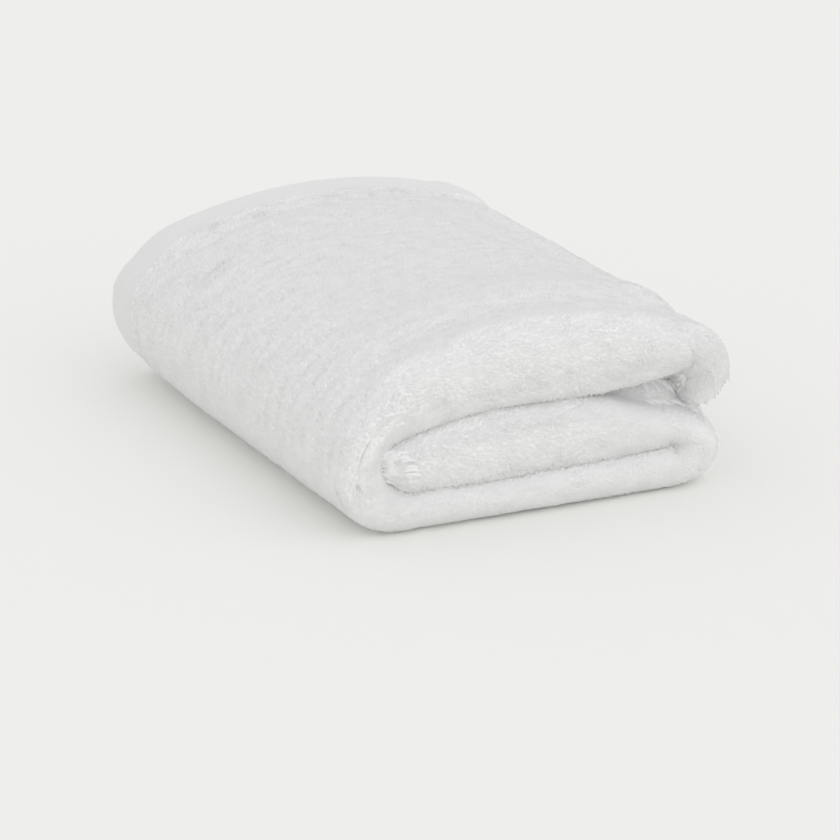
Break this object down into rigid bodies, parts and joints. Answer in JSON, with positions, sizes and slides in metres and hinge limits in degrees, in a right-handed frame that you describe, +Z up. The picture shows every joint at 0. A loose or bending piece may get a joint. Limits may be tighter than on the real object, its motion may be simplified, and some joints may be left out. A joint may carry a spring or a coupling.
{
  "type": "hand towel",
  "caption": "Plush white terry hand towel, folded lengthwise into a soft strip and then letter-folded, its free end draped over the turned side.",
  "frame": {"origin": "centre of the folded towel's footprint, on the surface it rests on", "axes": "+Z up; the round spine of the strip faces -Y and both hems lie at +Y; the strip wraps round the -X side and its free end hangs at +X"},
  "size_m": [0.1855, 0.256, 0.0836],
  "materials": {
    "white_cotton": "matt terry pile"
  },
  "bodies": {
    "root": {"towel_cloth": "white_cotton"}
  },
  "joints": []
}
